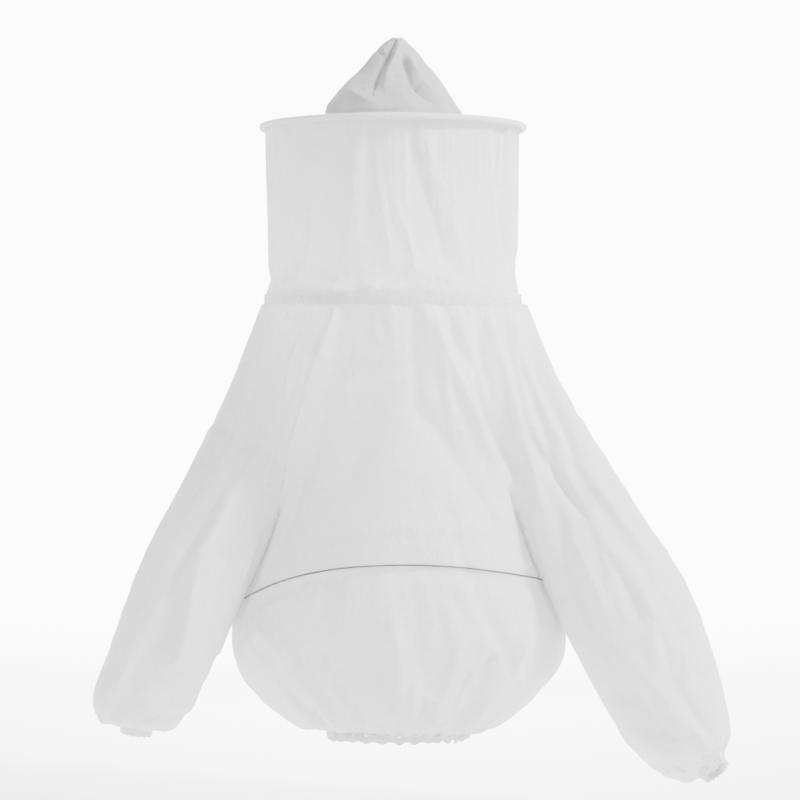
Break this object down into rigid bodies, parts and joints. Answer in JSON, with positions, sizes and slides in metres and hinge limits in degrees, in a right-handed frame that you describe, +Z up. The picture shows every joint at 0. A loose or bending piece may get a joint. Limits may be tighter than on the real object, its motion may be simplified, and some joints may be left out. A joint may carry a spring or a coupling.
{
  "type": "beekeeping smock",
  "caption": "Loose pull-over beekeeping smock of white cotton with an attached hoop-brim hat and veil, gathered at the neck, cuffs and hem.",
  "frame": {"origin": "centre of the neck seam, where the veil is sewn to the jacket", "axes": "+Z up, +Y towards the wearer's front, +X towards the wearer's right; the sleeves hang at rest"},
  "size_m": [0.8934, 0.3794, 1.0492],
  "materials": {
    "cotton": "plain-weave white cotton, matte",
    "binding": "folded white cotton binding, matte",
    "black_mesh": "open black polyester net",
    "piping": "thin grey corded piping",
    "elastic_web": "ribbed white elastic",
    "hoop_steel": "drawn spring wire",
    "ferrule_brass": "crimped, satin"
  },
  "bodies": {
    "torso": {"front_body_panel": "cotton", "upper_back_panel": "cotton", "lower_back_panel": "cotton", "back_seam_piping": "piping", "hem_casing": "cotton", "hem_elastic": "elastic_web", "neck_casing": "binding", "neck_elastic": "elastic_web", "veil_back_panel": "cotton", "veil_mesh_window": "black_mesh", "window_binding_left": "binding", "window_binding_right": "binding"},
    "hat": {"crown_back_panel": "cotton", "crown_front_panel": "cotton", "hat_brim": "cotton", "brim_casing": "binding", "hoop_wire": "hoop_steel", "hoop_ferrule": "ferrule_brass", "hat_sweatband": "elastic_web"},
    "left_sleeve": {"left_sleeve": "cotton", "left_cuff_casing": "cotton", "left_cuff_elastic": "elastic_web"},
    "right_sleeve": {"right_sleeve": "cotton", "right_cuff_casing": "cotton", "right_cuff_elastic": "elastic_web"}
  },
  "joints": [
    {"name": "left_sleeve_swing", "type": "hinge", "parent": "torso", "child": "left_sleeve", "pos_m": [-0.152, 0, -0.114], "axis": [0, 1, 0], "range_deg": [0, 60]},
    {"name": "right_sleeve_swing", "type": "hinge", "parent": "torso", "child": "right_sleeve", "pos_m": [0.152, 0, -0.114], "axis": [0, -1, 0], "range_deg": [0, 60]},
    {"name": "veil_collapse", "type": "slide", "parent": "torso", "child": "hat", "axis": [0, 0, 1], "range_m": [-0.19, 0], "deforming": ["veil_back_panel", "veil_mesh_window", "window_binding_left", "window_binding_right"]}
  ]
}
